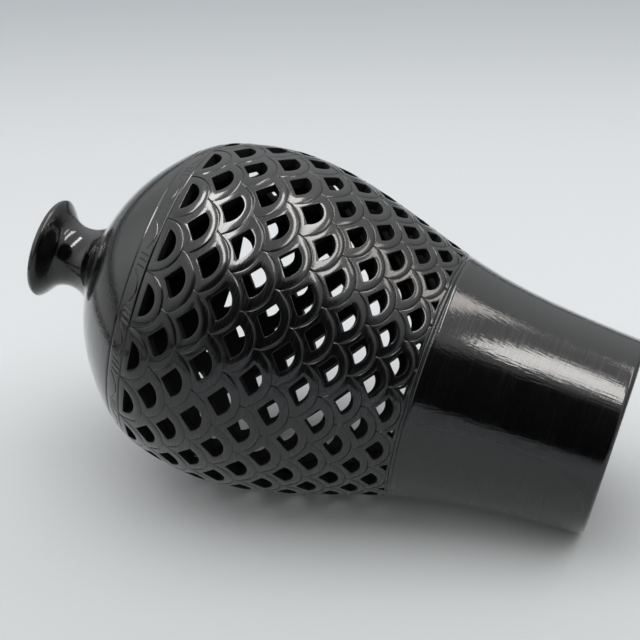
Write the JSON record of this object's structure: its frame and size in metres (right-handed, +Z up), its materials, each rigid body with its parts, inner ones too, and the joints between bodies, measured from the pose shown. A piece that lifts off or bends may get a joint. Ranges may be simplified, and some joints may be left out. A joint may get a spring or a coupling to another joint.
{
  "type": "pierced clay vase",
  "caption": "Tall burnished black clay vase: closed round foot, swelling belly pierced in a fish-scale lattice, smooth domed shoulder and a narrow neck with a flared lip for stems.",
  "frame": {"origin": "centre of the resting face under the foot", "axes": "+Z up the pot's axis, from the foot to the mouth; -Y faces the main viewing side"},
  "size_m": [0.1692, 0.169, 0.3],
  "materials": {
    "burnished_clay": "burnished to a soft graphite-like gloss, unglazed",
    "carved_clay": "satin, burnished on the scales and matt in the cuts"
  },
  "bodies": {
    "root": {"base_slab": "burnished_clay", "foot_wall": "burnished_clay", "pierced_belly": "carved_clay", "shoulder_dome": "burnished_clay", "neck": "burnished_clay", "mouth_lip": "burnished_clay"}
  },
  "joints": []
}
